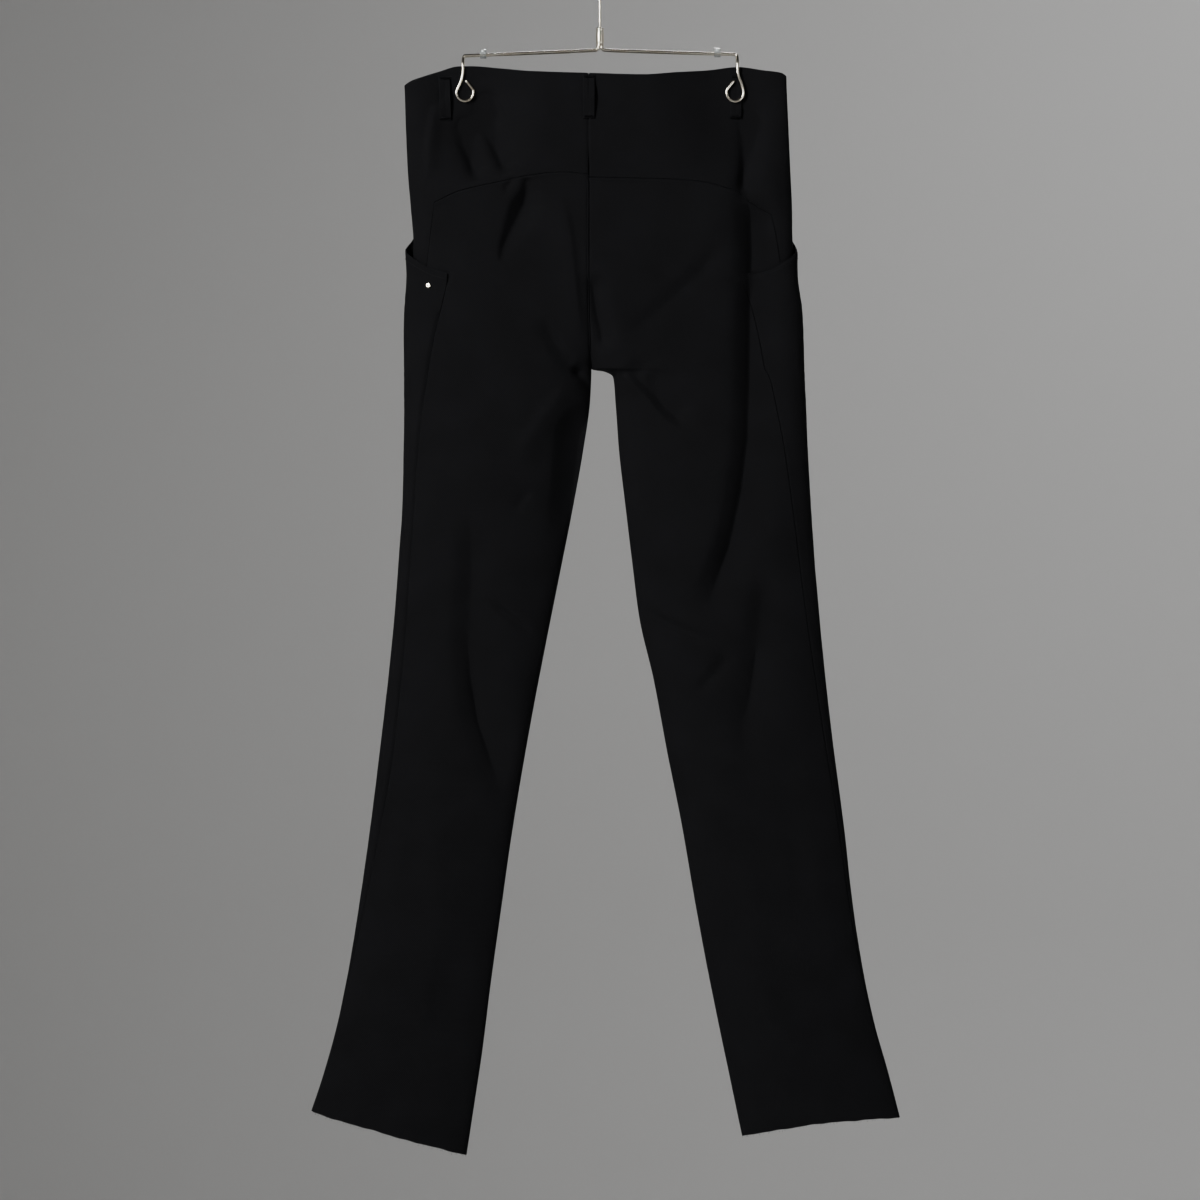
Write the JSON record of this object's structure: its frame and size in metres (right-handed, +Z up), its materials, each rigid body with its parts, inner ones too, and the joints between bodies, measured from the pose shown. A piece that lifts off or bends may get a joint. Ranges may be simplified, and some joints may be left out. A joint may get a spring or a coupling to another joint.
{
  "type": "slim trousers on a wire clip hanger",
  "caption": "Slim trousers with a wide back yoke, scooped pocket mouths and raw hems, hung by the waist from a thin wire hanger with two pinching clips.",
  "frame": {"origin": "top of the inside of the hanger's hook, where it rests on a rail", "axes": "+Z up, the back of the trousers faces -Y, the wearer's left is at -X"},
  "size_m": [0.6361, 0.0525, 1.3095],
  "materials": {
    "black_cloth": "dense matt black cloth with a fine grain",
    "black_button": "satin black",
    "steel_trim": "satin",
    "polished_steel": "polished, slightly warm",
    "clear_plastic": "clear and glossy"
  },
  "bodies": {
    "root": {"back_leg_left": "black_cloth", "back_leg_right": "black_cloth", "front_leg_left": "black_cloth", "front_leg_right": "black_cloth", "back_yoke_left": "black_cloth", "back_yoke_right": "black_cloth", "belt_loop_back_centre": "black_cloth", "belt_loop_back_left": "black_cloth", "belt_loop_back_right": "black_cloth", "belt_loop_front_left": "black_cloth", "belt_loop_front_right": "black_cloth", "fly_placket": "black_cloth", "waist_button": "black_button", "pocket_rivet": "steel_trim", "hanger_hook": "polished_steel", "hanger_ferrule": "polished_steel", "hanger_wire_back_left": "polished_steel", "hanger_wire_back_right": "polished_steel", "hanger_wire_front_left": "polished_steel", "hanger_wire_front_right": "polished_steel", "hanger_slider_left": "clear_plastic", "hanger_slider_right": "clear_plastic"}
  },
  "joints": []
}
